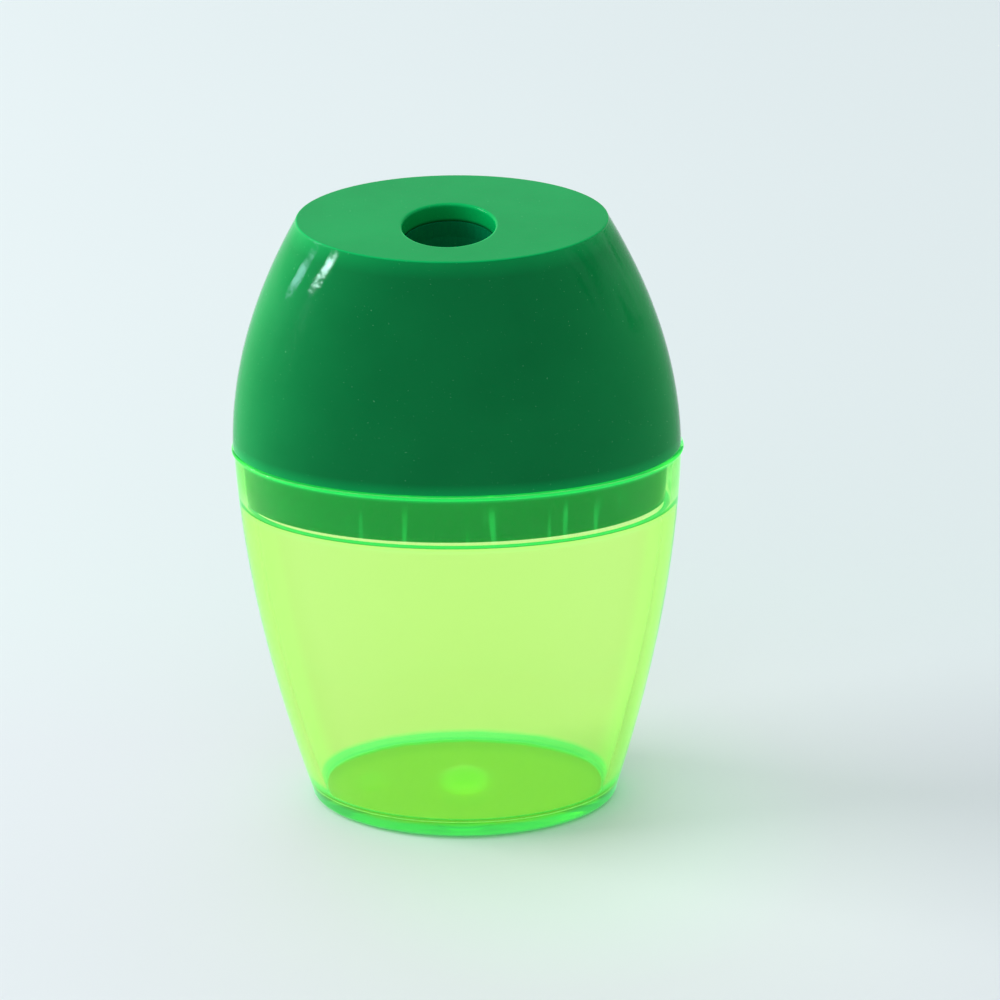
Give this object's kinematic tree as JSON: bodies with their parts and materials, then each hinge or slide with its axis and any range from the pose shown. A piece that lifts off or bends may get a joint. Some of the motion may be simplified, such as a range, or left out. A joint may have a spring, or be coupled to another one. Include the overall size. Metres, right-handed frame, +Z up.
{
  "type": "pencil sharpener",
  "caption": "Flat oval pencil sharpener: an opaque green cap with a pencil hole and the cutter inside it lifts off a translucent yellow-green cup that catches the shavings.",
  "frame": {"origin": "middle of the flat base, on the surface that the sharpener stands on", "axes": "+Z up through the pencil hole's face, X across the wide side, -Y towards the side that the hole is nearer to"},
  "size_m": [0.042, 0.0198, 0.0626],
  "materials": {
    "cup_plastic": "glossy translucent fluorescent yellow-green",
    "cap_plastic": "glossy opaque dark green with fine scuffs",
    "insert_plastic": "satin dark green",
    "blade_steel": "ground",
    "screw_steel": "satin"
  },
  "bodies": {
    "container": {"container": "cup_plastic"},
    "cap": {"cap": "cap_plastic", "sharpener_insert": "insert_plastic", "blade": "blade_steel"},
    "blade_screw": {"blade_screw": "screw_steel"}
  },
  "joints": [
    {"name": "cap_lift", "type": "slide", "parent": "container", "child": "cap", "axis": [0, 0, 1], "range_m": [0, 0.04]},
    {"name": "blade_screw_turn", "type": "hinge", "parent": "cap", "child": "blade_screw", "pos_m": [-0.00432, 0.0008, 0.04765], "axis": [0, 0.9884, -0.1519], "continuous": true}
  ]
}
